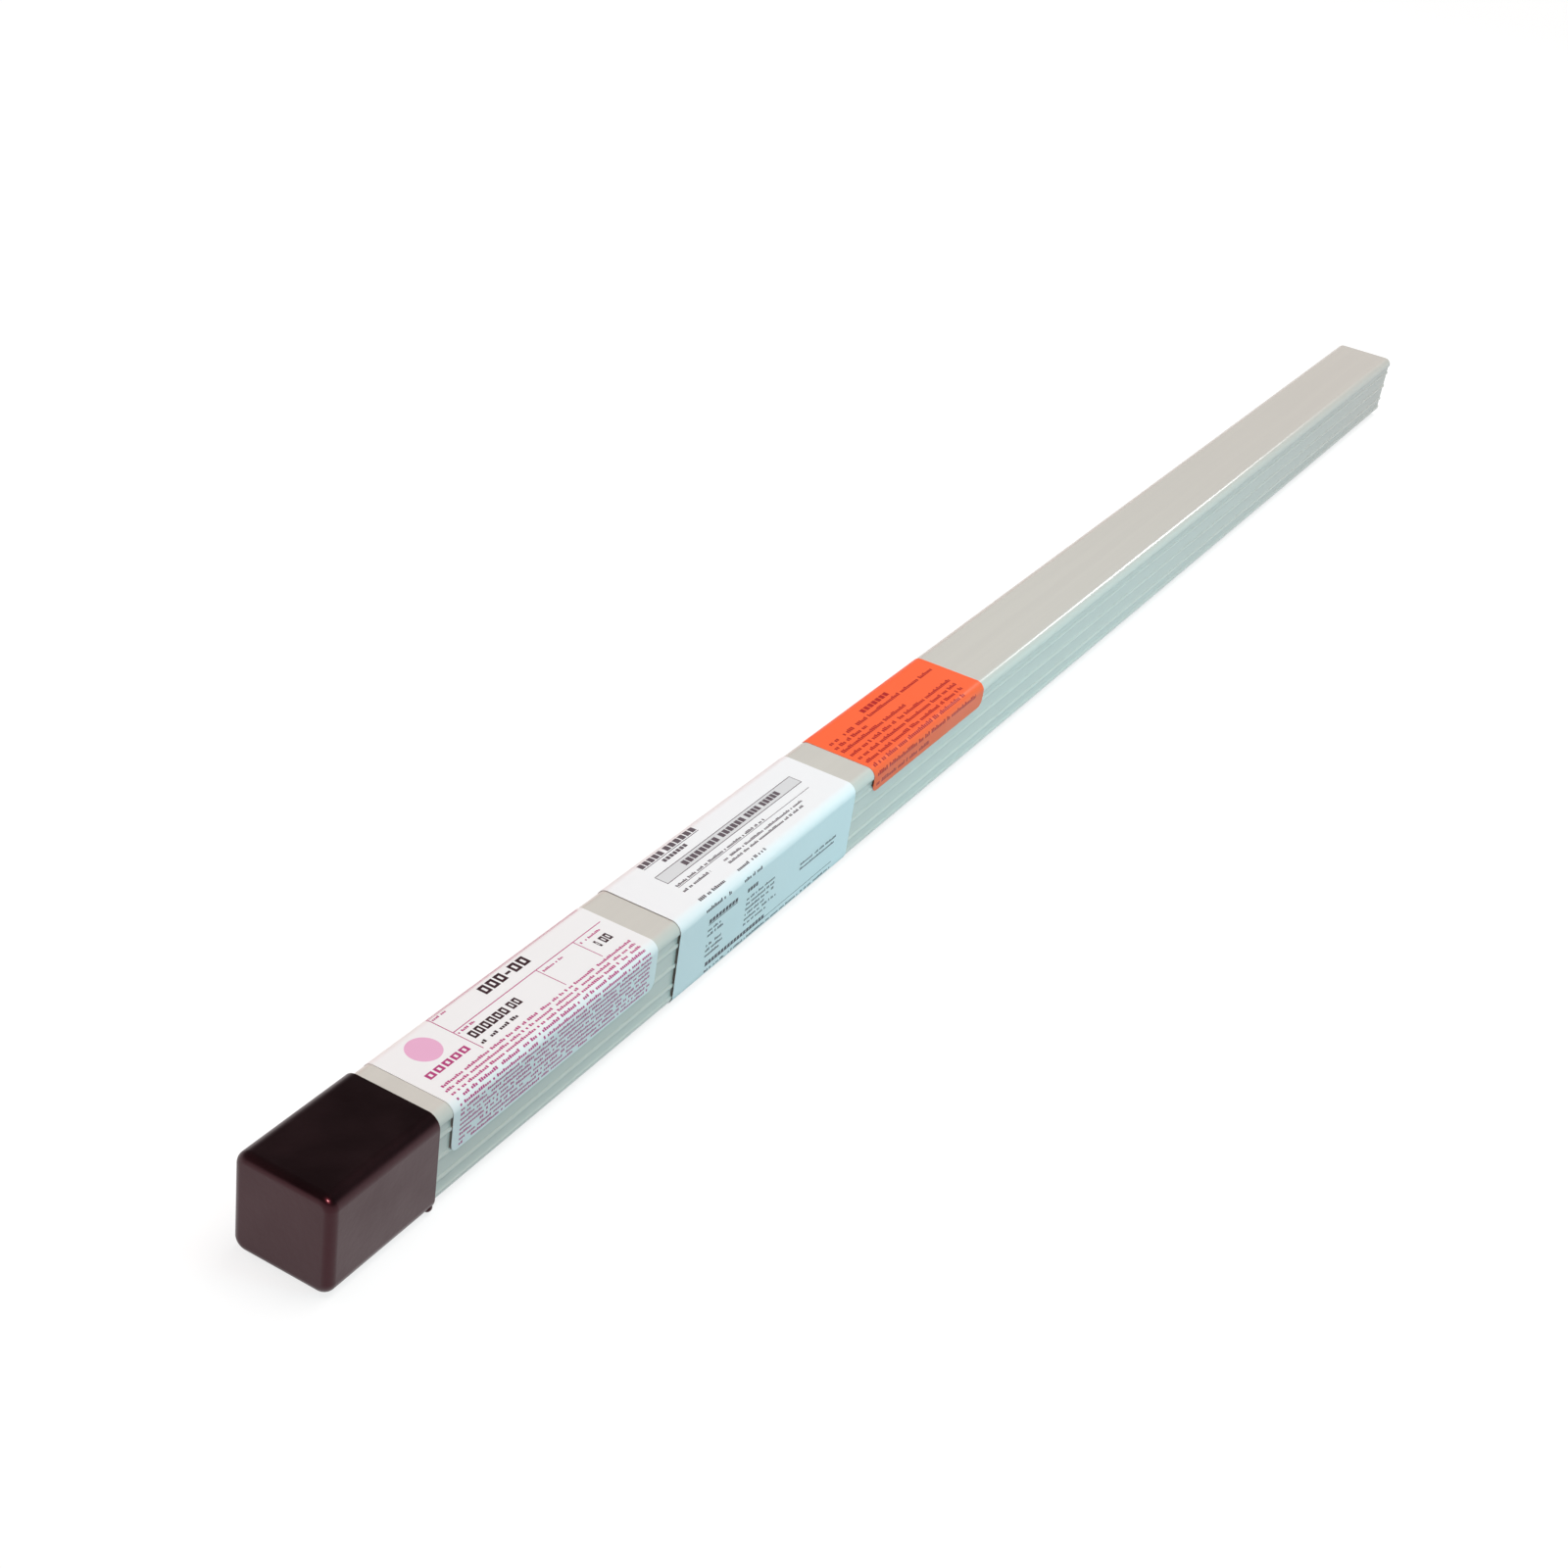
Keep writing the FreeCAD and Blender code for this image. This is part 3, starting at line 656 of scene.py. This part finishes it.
def sheet_material(settings, start):
    """Matt white paper with two columns of greyish print under a boxed title."""
    material, tree, shader = new_material("sheet_paper")
    surface(tree, shader, stretched_place(tree, 1.0, 1.0), 160, 60, (0.62, 0.75), 0.00012)
    shader.inputs["Specular IOR Level"].default_value = 0.2
    ink = Print(tree, start)
    title = ink.frame(16.6, 104.2, 10.6, 16.0, 0.3)
    ink.boxes(
        (18.1, 51.5, 5.5, 5.8), (17.0, 102.5, 19.6, 19.85), (18.1, 36.2, 39.8, 40.1),
        (19.0, 104.5, 56.7, 56.95))
    ink.bold(
        (18.1, 31.5, 2.5, 2.6, 5), (33.2, 51.3, 2.5, 2.6, 6), (27.0, 41.0, 6.6, 1.6, 7),
        (30.2, 51.4, 11.9, 2.6, 8), (53.3, 68.5, 11.9, 2.6, 6), (70.3, 78.6, 11.9, 2.6, 4),
        (80.4, 91.8, 11.9, 2.6, 5), (18.1, 36.0, 37.9, 1.6, 9), (42.3, 49.0, 37.9, 1.6, 4),
        (19.1, 57.0, 55.3, 1.6, 19))
    ink.rows(17.2, 73.0, 18.2, 1.1, letter=0.9, seed=24)
    ink.rows(16.2, 32.6, 21.5, 1.2, letter=0.9, seed=25)
    ink.rows(41.0, 105.0, 21.7, 1.05, rows=2, pitch=2.1, letter=0.85, ragged=40.0, seed=26)
    ink.rows(15.5, 31.0, 28.0, 1.3, rows=2, pitch=4.7, letter=1.0, seed=28)
    ink.rows(39.2, 62.2, 28.1, 1.2, rows=2, pitch=4.6, letter=0.9, ragged=14.0, seed=29)
    ink.rows(18.0, 28.0, 41.6, 1.1, rows=2, pitch=2.0, letter=0.9, ragged=2.0, seed=34)
    ink.rows(42.5, 66.0, 41.7, 1.0, rows=6, pitch=2.05, letter=0.85, ragged=11.0, seed=35)
    ink.rows(18.0, 31.0, 47.5, 1.1, rows=3, pitch=2.1, letter=0.9, ragged=5.0, seed=36)
    ink.rows(79.5, 106.0, 45.7, 1.0, rows=2, pitch=2.0, letter=0.85, ragged=3.0, seed=37)
    ink.rows(19.0, 104.0, 58.5, 1.0, letter=0.85, seed=39)
    shaded = [channel * 0.80 for channel in settings.sheet_colour]
    paper = mix_colours(tree, title, (*settings.sheet_colour, 1), (*shaded, 1))
    feed(tree, shader.inputs["Base Color"], ink.over(paper, settings.grey_ink))
    return material


def sticker_material(settings, start):
    """Bright orange gloss paper with rows of dark red-brown print."""
    material, tree, shader = new_material("sticker_paper")
    surface(tree, shader, stretched_place(tree, 1.0, 1.0), 2500, 45, (0.40, 0.50), 0.000006)
    shader.inputs["Specular IOR Level"].default_value = 0.3
    ink = Print(tree, start)
    ink.bold((34.5, 55.0, 5.7, 2.3, 7))
    ends = (86.5, 26.5, 52.5, 82.5, 81.5, 81.5, 76.5, 83.5, 44.5)
    tops = (9.4, 12.4, 15.5, 18.9, 22.2, 25.5, 28.6, 32.4, 36.4)
    for right, top in zip(ends, tops):
        ink.rows(2.5, right, top, 1.7, letter=1.3, seed=51 + top)
    feed(tree, shader.inputs["Base Color"], ink.over((*settings.sticker_colour, 1), settings.brown_ink))
    return material


class ROD_TUBE_OT_groups(bpy.types.Operator):
    """Make the shared effects: surface grain, print boxes and rows of print"""
    bl_idname = "rod_tube.groups"
    bl_label = "Shared effects"

    def execute(self, context):
        make_grain_group()
        make_box_group()
        make_disc_group()
        make_rows_group()
        make_word_group()
        return {"FINISHED"}


class ROD_TUBE_OT_tube(bpy.types.Operator):
    """Give the ribbed square tube its smooth corners and satin plastic"""
    bl_idname = "rod_tube.tube"
    bl_label = "Tube"

    def execute(self, context):
        settings = context.scene.rod_tube
        piece = skin_of_node("tube", "tube_shell", settings.smooth_angle)
        finish_piece(piece, "tube", "tube_body", tube_material(settings))
        return {"FINISHED"}


def add_drip(cap, radius):
    """Joins on the small drip that dipping leaves at the lower right corner of the rim."""
    low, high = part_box("end_cap")
    bpy.ops.object.select_all(action="DESELECT")
    bpy.ops.mesh.primitive_uv_sphere_add(segments=24, ring_count=12, radius=radius)
    drip = bpy.context.object
    bpy.ops.object.mode_set(mode="EDIT")
    bpy.ops.transform.resize(value=(1.2, 1, 1))
    bpy.ops.transform.translate(value=(high.x - radius * 1.22, low.y + radius * 1.1, low.z + radius * 1.5))
    bpy.ops.object.mode_set(mode="OBJECT")
    apply_modifier(cap, "BOOLEAN", object=drip, operation="UNION", solver="EXACT")
    bpy.data.objects.remove(drip)


class ROD_TUBE_OT_cap(bpy.types.Operator):
    """Give the dipped end cap and the push-in plug their surfaces"""
    bl_idname = "rod_tube.cap"
    bl_label = "Cap and plug"

    def execute(self, context):
        settings = context.scene.rod_cap
        angle = context.scene.rod_tube.smooth_angle
        cap = skin_of_node("end_cap", "cap_shell", angle)
        add_drip(cap, settings.drip_radius)
        smooth(cap, angle)
        finish_piece(cap, "end_cap", "cap_body", cap_material(settings))
        plug = skin_of_node("end_plug", "plug_shell", angle)
        finish_piece(plug, "end_plug", "tube_body", plug_material(settings))
        return {"FINISHED"}


class ROD_TUBE_OT_rods(bpy.types.Operator):
    """Give the loose rods inside the tube their drawn steel"""
    bl_idname = "rod_tube.rods"
    bl_label = "Rods"

    def execute(self, context):
        steel = rod_material(context.scene.rod_cap)
        for name in ROD_NODES:
            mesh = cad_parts[name].data
            mesh.materials.clear()
            mesh.materials.append(steel)
        return {"FINISHED"}


def make_stuck_paper(context, node, name, maker):
    """Folds a label or a sticker over the tube and prints it."""
    settings = context.scene.rod_paper
    low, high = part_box(node)
    piece = fold_paper(node, name, settings.fold_radius, settings.left_drop)
    round_outline(piece, settings.label_corner)
    unroll(piece, -low.y, settings.fold_radius)
    apply_modifier(piece, "SOLIDIFY", thickness=settings.thickness, offset=-1)
    smooth(piece, math.radians(30))
    finish_piece(piece, node, "tube_body", maker(settings, low.x))


class ROD_TUBE_OT_label(bpy.types.Operator):
    """Fold and print the white label"""
    bl_idname = "rod_tube.label"
    bl_label = "Label"

    def execute(self, context):
        make_stuck_paper(context, "product_label", "folded_label", label_material)
        return {"FINISHED"}


class ROD_TUBE_OT_sticker(bpy.types.Operator):
    """Fold and print the orange sticker"""
    bl_idname = "rod_tube.sticker"
    bl_label = "Orange sticker"

    def execute(self, context):
        make_stuck_paper(context, "orange_sticker", "folded_sticker", sticker_material)
        return {"FINISHED"}


class ROD_TUBE_OT_sheet(bpy.types.Operator):
    """Wrap the printed sheet round the tube, its ends lapped on the far side"""
    bl_idname = "rod_tube.sheet"
    bl_label = "Wrapped sheet"

    def execute(self, context):
        settings = context.scene.rod_paper
        low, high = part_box("data_sheet")
        radius = settings.sheet_radius
        half = -low.y
        flat = half - radius
        top = AXIS_HEIGHT + half
        step = high.y - half
        piece = flat_top("wrapped_sheet", low.x, high.x, flat, top)
        select_edge(piece, lambda spot: spot.y > flat - ALIKE)
        fold_edge(flat, top - radius, -math.pi / 2)
        run_edge(0, -(flat + SHEET_HALF_LAP))
        select_edge(piece, lambda spot: abs(spot.y + flat) < ALIKE and spot.z > top - ALIKE)
        fold_edge(-flat, top - radius, math.pi / 2)
        run_edge(0, -flat * 2)
        fold_edge(-flat, AXIS_HEIGHT - flat, math.pi / 2)
        run_edge(flat * 2 + step, 0)
        fold_edge(flat + step, AXIS_HEIGHT - flat, math.pi / 2)
        run_edge(0, flat + SHEET_HALF_LAP)
        bpy.ops.object.mode_set(mode="OBJECT")
        unroll(piece, half, radius)
        apply_modifier(piece, "SOLIDIFY", thickness=settings.sheet_thickness, offset=-1)
        smooth(piece, math.radians(30))
        finish_piece(piece, "data_sheet", "tube_body", sheet_material(settings, low.x))
        return {"FINISHED"}


def add_light(name, kind, place, aim, colour, mirrored=True, lights_matt=True, **values):
    """A light at a place, pointed at a spot. Gloss mirrors it or not, and it lights matt faces or not."""
    data = bpy.data.lights.new(name, kind)
    data.color = colour
    for label, value in values.items():
        setattr(data, label, value)
    light = bpy.data.objects.new(name, data)
    bpy.context.collection.objects.link(light)
    light.location = place
    light.visible_glossy = mirrored
    light.visible_diffuse = lights_matt
    light.rotation_euler = (Vector(aim) - Vector(place)).to_track_quat("-Z", "Y").to_euler()


def make_world(fill_level):
    """Even fill light, a white surround for the camera, and for reflections one that darkens overhead."""
    world = bpy.data.worlds.new("studio")
    bpy.context.scene.world = world
    world.use_nodes = True
    tree = world.node_tree
    background = tree.nodes["Background"]
    background.inputs["Color"].default_value = (1, 1, 1, 1)
    path = add_node(tree, "ShaderNodeLightPath").outputs
    outward = add_node(tree, "ShaderNodeTexCoord").outputs["Generated"]
    split = add_node(tree, "ShaderNodeSeparateXYZ")
    feed(tree, split.inputs[0], outward)
    overhead = spread(tree, split.outputs["Z"], 0.05, 0.40, 1.0, 0.03)
    level = spread(tree, path["Is Glossy Ray"], 0.0, 1.0, fill_level, overhead)
    seen = calculate(tree, "MAXIMUM", path["Is Camera Ray"], path["Is Transmission Ray"])
    feed(tree, background.inputs["Strength"], spread(tree, seen, 0.0, 1.0, level, 1.0))


def floor_material(settings):
    """Pale floor that shows white to the camera and keeps the object's shadow."""
    material, tree, shader = new_material("floor_paint")
    shader.inputs["Base Color"].default_value = (*settings.floor_colour, 1)
    shader.inputs["Roughness"].default_value = 0.9
    shader.inputs["Specular IOR Level"].default_value = 0.0
    path = add_node(tree, "ShaderNodeLightPath").outputs
    seen = calculate(tree, "MAXIMUM", path["Is Camera Ray"], path["Is Glossy Ray"])
    shader.inputs["Emission Color"].default_value = (1, 1, 1, 1)
    feed(tree, shader.inputs["Emission Strength"], spread(tree, seen, 0.0, 1.0, 0.0, settings.floor_glow))
    return material


class ROD_TUBE_OT_stage(bpy.types.Operator):
    """Set up the pale floor, the soft lamps and the camera"""
    bl_idname = "rod_tube.stage"
    bl_label = "Studio"

    def execute(self, context):
        settings = context.scene.rod_stage
        bpy.ops.object.select_all(action="DESELECT")
        bpy.ops.mesh.primitive_plane_add(size=16, location=(0, 0, -0.0002))
        floor = context.object
        floor.name = "floor"
        floor.data.materials.append(floor_material(settings))
        make_world(settings.fill_level)
        add_light(
            "key_light", "SUN", (0.35, -0.16, 1.0), (0, 0, 0), (1.0, 0.965, 0.94), mirrored=False,
            energy=settings.key_strength, angle=settings.key_softness)
        add_light(
            "side_light", "AREA", (-0.05, -1.1, 0.40), (-0.05, 0, 0), (0.38, 0.90, 1.0), mirrored=False,
            energy=settings.side_power, spread=math.radians(75), shape="RECTANGLE", size=0.3, size_y=0.3)
        add_light(
            "back_light", "AREA", (-0.45, 1.0, 0.55), (-0.20, 0, 0.03), (1.0, 0.74, 0.73), mirrored=False,
            energy=settings.back_power, shape="RECTANGLE", size=0.8, size_y=0.4)
        add_light(
            "catch_light", "POINT", (-0.85, -0.25, 0.55), (-0.46, 0, 0.03), (1.0, 0.8, 0.75),
            lights_matt=False, energy=settings.catch_power, shadow_soft_size=0.06)
        add_light(
            "far_light", "AREA", (1.35, -0.05, 0.75), (0.1, 0, 0.02), (1.0, 1.0, 1.0),
            energy=settings.far_power, shape="RECTANGLE", size=0.14, size_y=0.14)
        self.add_camera(context)
        return {"FINISHED"}

    def add_camera(self, context):
        """The camera at the photo's angle."""
        data = bpy.data.cameras.new("photo_camera")
        data.sensor_width = CAMERA_FILM_WIDTH
        data.lens = CAMERA_LENS
        data.clip_start, data.clip_end = 0.05, 50
        camera = bpy.data.objects.new("photo_camera", data)
        context.collection.objects.link(camera)
        camera.location = CAMERA_PLACE
        camera.rotation_euler = Euler([math.radians(angle) for angle in CAMERA_TURN], "XYZ")
        context.scene.camera = camera
        context.scene.view_settings.view_transform = "Standard"


OPERATORS = (
    ROD_TUBE_OT_groups, ROD_TUBE_OT_tube, ROD_TUBE_OT_cap, ROD_TUBE_OT_rods, ROD_TUBE_OT_label,
    ROD_TUBE_OT_sheet, ROD_TUBE_OT_sticker, ROD_TUBE_OT_stage,
)
SETTINGS = {
    "rod_tube": TubeSettings, "rod_cap": CapSettings, "rod_paper": PaperSettings, "rod_stage": StageSettings,
}


class ROD_TUBE_PT_panel(bpy.types.Panel):
    bl_label = "Rod Tube"
    bl_idname = "ROD_TUBE_PT_panel"
    bl_space_type = "VIEW_3D"
    bl_region_type = "UI"
    bl_category = "Rod Tube"

    def draw(self, context):
        for operator in OPERATORS:
            self.layout.operator(operator.bl_idname)
        for name, group in SETTINGS.items():
            box = self.layout.box()
            for value in group.__annotations__:
                box.prop(getattr(context.scene, name), value)


def register():
    for item in (*SETTINGS.values(), *OPERATORS, ROD_TUBE_PT_panel):
        bpy.utils.register_class(item)
    for name, group in SETTINGS.items():
        setattr(bpy.types.Scene, name, bpy.props.PointerProperty(type=group))


def unregister():
    for name in SETTINGS:
        delattr(bpy.types.Scene, name)
    for item in (ROD_TUBE_PT_panel, *reversed(OPERATORS), *SETTINGS.values()):
        bpy.utils.unregister_class(item)


def main():
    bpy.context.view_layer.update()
    register()
    bpy.ops.rod_tube.groups()
    bpy.ops.rod_tube.tube()
    bpy.ops.rod_tube.cap()
    bpy.ops.rod_tube.rods()
    bpy.ops.rod_tube.label()
    bpy.ops.rod_tube.sheet()
    bpy.ops.rod_tube.sticker()
    bpy.ops.rod_tube.stage()


if __name__ == "__main__":
    main()
